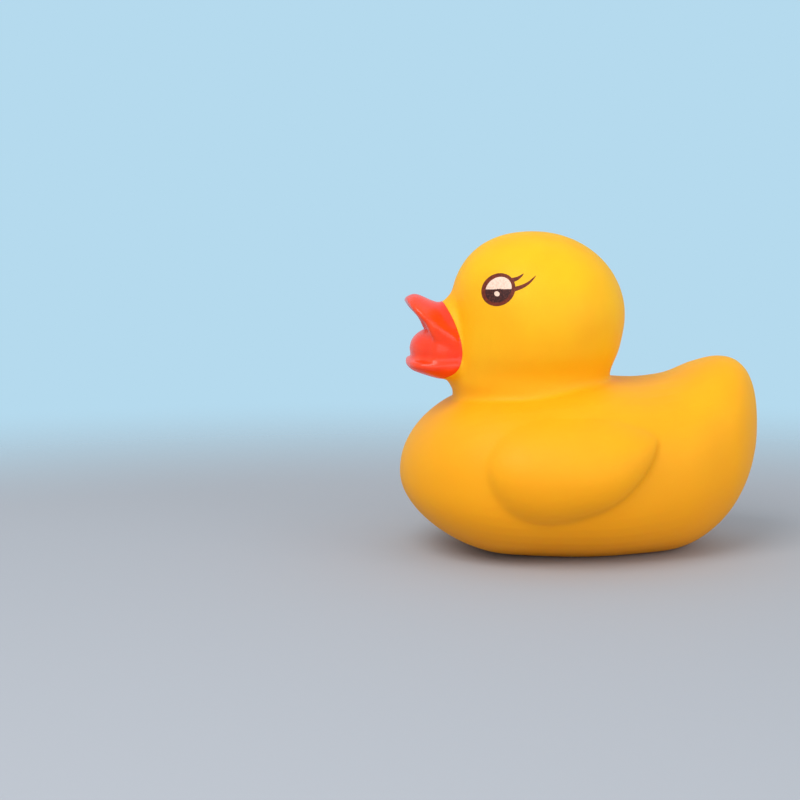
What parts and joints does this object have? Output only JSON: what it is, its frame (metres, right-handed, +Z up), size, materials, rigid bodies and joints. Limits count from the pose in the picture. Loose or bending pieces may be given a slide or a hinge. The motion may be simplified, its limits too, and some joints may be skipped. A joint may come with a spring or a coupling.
{
  "type": "rubber duck",
  "caption": "Bath duck of soft yellow vinyl with an open orange bill and a push-in squeaker in its flat base. It stands or floats, and squeaks when squeezed.",
  "frame": {"origin": "on the ground under the middle of the duck's bounding box", "axes": "+X points to the bill, +Y to the duck's left wing, +Z up"},
  "size_m": [0.0854, 0.0694, 0.0753],
  "materials": {
    "yellow_vinyl": "soft matte moulded vinyl, with a painted orange-red bill and printed eyes",
    "squeaker_plastic": "moulded, satin",
    "reed_brass": "rolled strip"
  },
  "bodies": {
    "root": {"duck_body": "yellow_vinyl", "squeaker_cup": "squeaker_plastic", "squeaker_cap": "squeaker_plastic", "squeaker_reed": "reed_brass"}
  },
  "joints": []
}
